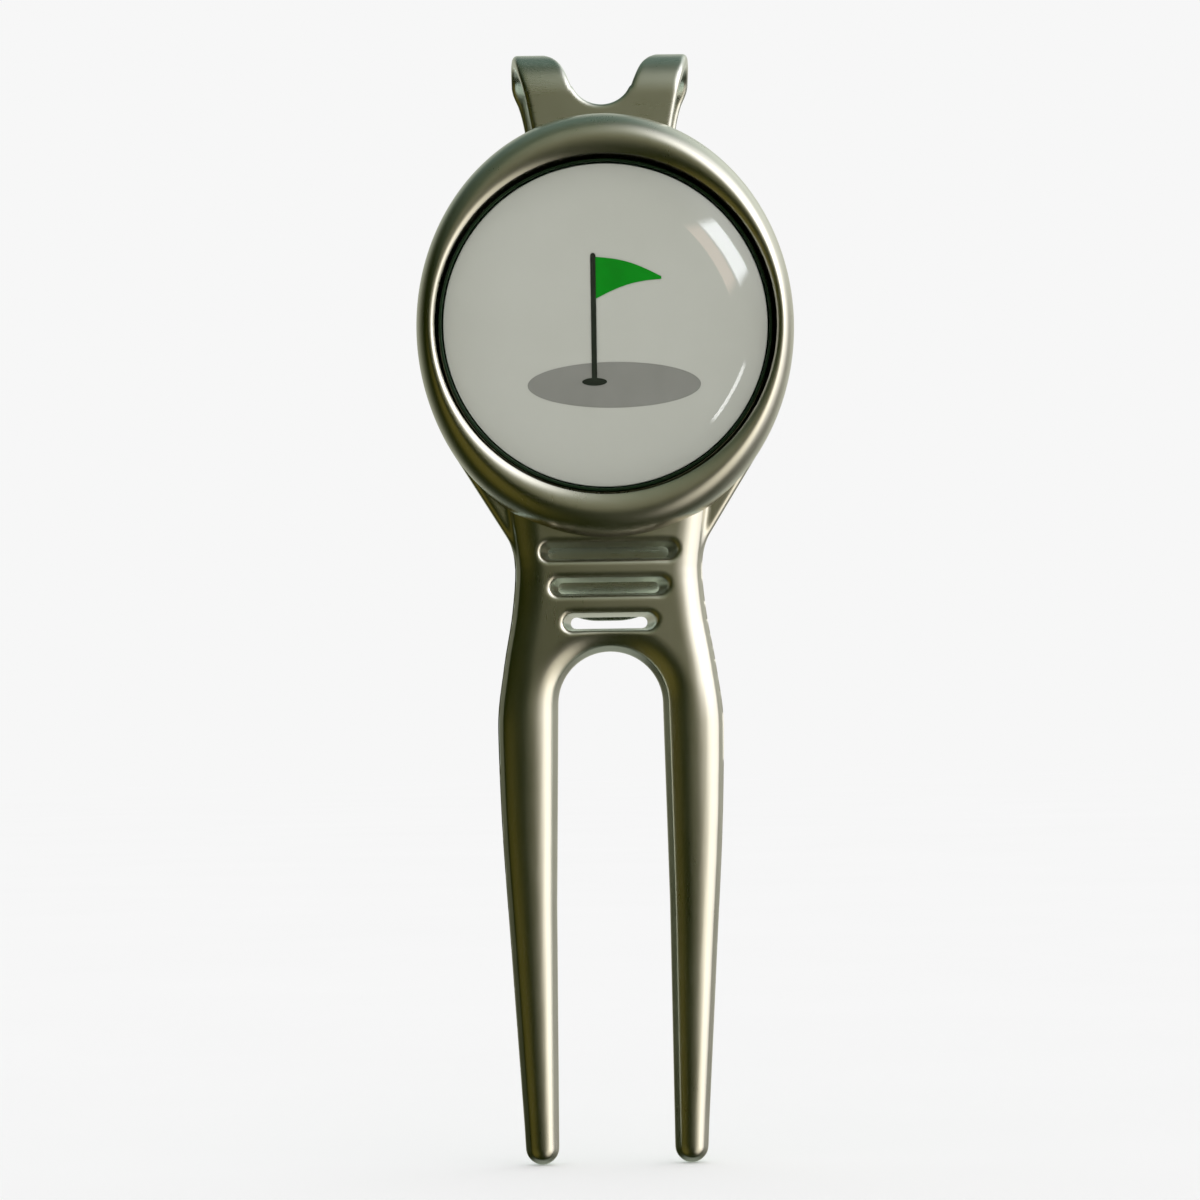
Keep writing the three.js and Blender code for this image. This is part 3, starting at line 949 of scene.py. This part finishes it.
def clear_material():
    """The resin's underside, where it is stuck to the print and mirrors nothing."""
    material, tree, shader = new_material("resin_underside")
    tree.nodes.remove(shader)
    clear = node(tree, "ShaderNodeBsdfTransparent", {"Color": (1, 1, 1, 1)})
    tree.links.new(clear.outputs[0], tree.nodes["Material Output"].inputs["Surface"])
    return material


def under_resin(name, dark, light, rough, scale=0.4):
    """Card or ink that the resin lies on, so it has no gloss of its own."""
    return plain(name, dark, light, rough, scale, specular=0.0)


def make_looks():
    """Each piece's material and the record's slot for it."""
    casting = satin_metal(
        "satin_nickel", (0.60, 0.575, 0.49), (0.66, 0.635, 0.55), 0.30, (1, 1, 0.06)
    )
    clip = satin_metal("clip_nickel", (0.60, 0.59, 0.52), (0.66, 0.65, 0.58), 0.28, (0.05, 1, 1))
    magnet = satin_metal("magnet_nickel", (0.66, 0.67, 0.68), (0.74, 0.75, 0.76), 0.2, (1, 1, 1))
    # The marker cup's near-black green is partly its own dark plated rim and partly painted shade,
    # standing in for the shadowed gap between the cup and the recess wall.
    dark = plain("black_nickel_and_painted_gap_shade", (0.002, 0.020, 0.003), (0.005, 0.028, 0.006), 0.35, metallic=0.5)
    card = under_resin("printed_card", (0.52, 0.525, 0.467), (0.545, 0.55, 0.493), 0.55, 0.1)
    grey = under_resin("grey_ink", (0.25, 0.25, 0.225), (0.27, 0.27, 0.245), 0.5)
    black = under_resin("dark_ink", (0.015, 0.02, 0.015), (0.02, 0.026, 0.02), 0.45)
    green = under_resin("green_ink", (0.0, 0.22, 0.008), (0.0, 0.26, 0.01), 0.45)
    return {
        "casting": (casting, "satin_nickel"),
        "clip": (clip, "clip_nickel"),
        "magnet": (magnet, "magnet"),
        "dark": (dark, "dark_nickel"),
        "print": (card, "print"),
        "ink_grey": (grey, "print"),
        "ink_dark": (black, "print"),
        "ink_green": (green, "print"),
        "resin": (resin_material(), "resin"),
        "clear": (clear_material(), "resin"),
    }


# ---------------------------------------------------------------- stage, light and camera

# The picture's width in pixels, millimetres per pixel at the marker, and the camera's place:
# its distance in metres, its angles, and the point in tool millimetres that it looks at.
PHOTO_SIZE = 1200
SCALE_MM = 0.0762
SENSOR_MM = 36.0
CAMERA_DISTANCE = 0.26
CAMERA_AZIMUTH = math.radians(-0.9)
CAMERA_ELEVATION = math.radians(-2.2)
CAMERA_ROLL = math.radians(-0.85)
AIM = (-0.72, -20.93, 3.0)


def make_floor():
    """A wide pale floor under the prongs' tips."""
    half, level = 2.0, CAD_BOX[0].z
    corners = [(-half, -half, level), (half, -half, level), (half, half, level), (-half, half, level)]
    mesh = bpy.data.meshes.new("floor")
    mesh.from_pydata(corners, [], [(0, 1, 2, 3)])
    floor = bpy.data.objects.new("floor", mesh)
    bpy.context.scene.collection.objects.link(floor)
    pale, paler = (0.925, 0.925, 0.925), (0.935, 0.935, 0.935)
    mesh.materials.append(plain("pale_floor", pale, paler, 0.9, 0.02, specular=0.0))
    floor.visible_glossy = False


# What metal and resin mirror: a dim base and soft patches of light. Each patch has the
# direction to it, the cosines at which it starts and is full, and its radiance.
SKY_BASE = (0.010, 0.016, 0.001)
SKY_LOBES = [
    ((0.08, -0.80, 0.60), 0.74, 0.98, (0.125, 0.123, 0.078)),
    ((0.15, -0.98, 0.12), 0.90, 0.995, (0.080, 0.077, 0.046)),
    ((0.00, -0.20, 0.98), 0.30, 0.95, (0.090, 0.118, 0.092)),
    ((0.00, 0.64, 0.77), 0.64, 0.94, (0.050, 0.095, 0.105)),
    ((0.98, -0.17, 0.10), 0.70, 0.99, (1.340, 1.320, 1.340)),
    ((0.81, -0.57, 0.10), 0.71, 1.00, (0.330, 0.305, 0.225)),
    ((0.70, -0.35, 0.62), 0.76, 0.96, (1.270, 1.280, 1.400)),
    ((0.60, -0.60, 0.52), 0.86, 0.95, (0.880, 0.885, 0.930)),
    ((0.74, -0.47, -0.48), 0.84, 0.98, (0.910, 0.860, 0.740)),
    ((-0.78, -0.37, -0.50), 0.76, 0.98, (0.110, 0.090, 0.022)),
    ((0.70, 0.71, 0.10), 0.50, 0.95, (0.200, 0.200, 0.185)),
    ((0.66, 0.42, 0.62), 0.80, 0.98, (0.600, 0.640, 0.640)),
    ((-0.45, 0.89, 0.10), 0.75, 0.97, (0.100, 0.105, 0.075)),
    ((0.10, 0.98, 0.15), 0.58, 1.00, (0.480, 0.490, 0.430)),
    ((0.00, 0.72, -0.69), 0.80, 0.99, (0.300, 0.340, 0.310)),
]
# Windows that only the polished resin is sharp enough to mirror: the direction to each, the
# tilt of its width in degrees, its half-width and half-height as sines, and its radiance.
WINDOWS = [
    ((0.349, -0.881, 0.318), 32.0, 0.074, 0.108, (10.5, 10.9, 11.5)),
    ((0.262, -0.927, 0.266), 32.0, 0.046, 0.098, (3.6, 2.5, 2.1)),
    ((0.355, -0.930, -0.076), -29.0, 0.016, 0.106, (9.0, 9.1, 9.2)),
]
WINDOW_SOFTNESS = 0.35
# A patch behind the tool that only light which has already been reflected more than
# DEEP_BOUNCE times can reach. It lights the clip through the slots.
DEEP_BOUNCE = 2.5
DEEP_LOBE = ((0.0, 1.0, 0.0), -0.05, 0.35, (0.90, 1.20, 1.25))
BACKDROP = (0.93, 0.93, 0.93)


def vector_math(tree, operation, a, b):
    """A vector node of two inputs. SCALE takes its second as a number, and DOT_PRODUCT gives
    one."""
    second = "Scale" if operation == "SCALE" else 1
    made = node(tree, "ShaderNodeVectorMath", {0: a, second: b}, operation=operation)
    return made.outputs["Value" if operation == "DOT_PRODUCT" else 0]


def smooth_range(tree, value, start, end, low, high):
    """A smooth step from low to high as the value goes from start to end."""
    return node(
        tree, "ShaderNodeMapRange",
        {"Value": value, "From Min": start, "From Max": end, "To Min": low, "To Max": high},
        interpolation_type="SMOOTHSTEP",
    ).outputs["Result"]


def lobe(tree, direction, towards, start, full, light):
    """Light that grows from nothing to full as a direction nears a lobe's own."""
    unit = Vector(towards).normalized()
    facing = vector_math(tree, "DOT_PRODUCT", direction, tuple(unit))
    share = smooth_range(tree, facing, start, full, 0.0, 1.0)
    return vector_math(tree, "SCALE", tuple(light), share)


def window(tree, direction, towards, tilt, half_width, half_height, light):
    """Light within a soft-edged rectangle of directions."""
    unit = Vector(towards).normalized()
    across = Vector((0, 0, 1)).cross(unit).normalized()
    up = unit.cross(across)
    turn = math.radians(tilt)
    wide = across * math.cos(turn) + up * math.sin(turn)
    high = up * math.cos(turn) - across * math.sin(turn)
    share = vector_math(tree, "DOT_PRODUCT", direction, tuple(unit))
    share = node(tree, "ShaderNodeMath", {0: share, 1: 0.0}, operation="GREATER_THAN").outputs[0]
    for axis, half in ((wide, half_width), (high, half_height)):
        reach = vector_math(tree, "DOT_PRODUCT", direction, tuple(axis))
        reach = node(tree, "ShaderNodeMath", {0: reach}, operation="ABSOLUTE").outputs[0]
        inside = smooth_range(tree, reach, half * (1 - WINDOW_SOFTNESS), half, 1.0, 0.0)
        share = node(tree, "ShaderNodeMath", {0: share, 1: inside}, operation="MULTIPLY").outputs[0]
    return vector_math(tree, "SCALE", tuple(light), share)


def background(tree, colour):
    """One even or patterned backdrop of the world."""
    return node(tree, "ShaderNodeBackground", {"Color": colour, "Strength": 1.0}).outputs[0]


def shader_mix(tree, share, a, b):
    """One shader or another, by a share."""
    return node(tree, "ShaderNodeMixShader", {0: share, 1: a, 2: b}).outputs[0]


def make_world():
    """A pale backdrop for the camera, even light for matt surfaces, and a studio of soft
    patches for the metal to mirror."""
    world = bpy.data.worlds.new("studio")
    bpy.context.scene.world = world
    world.use_nodes = True
    world.cycles.sampling_method = "NONE"
    tree = world.node_tree
    tree.nodes.clear()
    direction = node(tree, "ShaderNodeTexCoord").outputs["Generated"]
    ray = node(tree, "ShaderNodeLightPath").outputs
    total = node(tree, "ShaderNodeCombineXYZ", dict(zip("XYZ", SKY_BASE))).outputs[0]
    for patch in SKY_LOBES:
        total = vector_math(tree, "ADD", total, lobe(tree, direction, *patch))
    for pane in WINDOWS:
        lit = window(tree, direction, *pane)
        sharp = vector_math(tree, "SCALE", lit, ray["Is Singular Ray"])
        total = vector_math(tree, "ADD", total, sharp)
    deep = node(
        tree, "ShaderNodeMath", {0: ray["Ray Depth"], 1: DEEP_BOUNCE}, operation="GREATER_THAN"
    ).outputs[0]
    glow = vector_math(tree, "SCALE", lobe(tree, direction, *DEEP_LOBE), deep)
    studio = background(tree, vector_math(tree, "ADD", total, glow))
    even = background(tree, (1, 1, 1, 1))
    seen = background(tree, (*BACKDROP, 1))
    matt = shader_mix(tree, ray["Is Diffuse Ray"], studio, even)
    mix = shader_mix(tree, ray["Is Camera Ray"], matt, seen)
    output = node(tree, "ShaderNodeOutputWorld")
    tree.links.new(mix, output.inputs["Surface"])


def make_camera():
    """The camera at the photograph's angle."""
    camera = bpy.data.cameras.new("camera")
    holder = bpy.data.objects.new("camera", camera)
    bpy.context.scene.collection.objects.link(holder)
    aim = Vector(to_row([AIM])[0])
    back = Vector((
        math.sin(CAMERA_AZIMUTH) * math.cos(CAMERA_ELEVATION),
        -math.cos(CAMERA_AZIMUTH) * math.cos(CAMERA_ELEVATION),
        math.sin(CAMERA_ELEVATION),
    ))
    holder.location = aim + back * CAMERA_DISTANCE
    holder.rotation_mode = "QUATERNION"
    roll = Quaternion((0, 0, 1), CAMERA_ROLL)
    holder.rotation_quaternion = (-back).to_track_quat("-Z", "Y") @ roll
    camera.sensor_width = SENSOR_MM
    camera.lens = SENSOR_MM * CAMERA_DISTANCE / (PHOTO_SIZE * SCALE_MM * MM)
    camera.clip_start, camera.clip_end = 0.01, 20.0
    bpy.context.scene.camera = holder


# ---------------------------------------------------------------- the scene

looks = make_looks()
make_casting(looks["casting"])
make_clip(looks["clip"])
face_out = make_marker(looks)
make_mark(face_out, looks)
make_magnet(looks["magnet"])
make_rivets(looks["clip"])
make_floor()
make_world()
make_camera()
bpy.context.scene.view_settings.view_transform = "Standard"
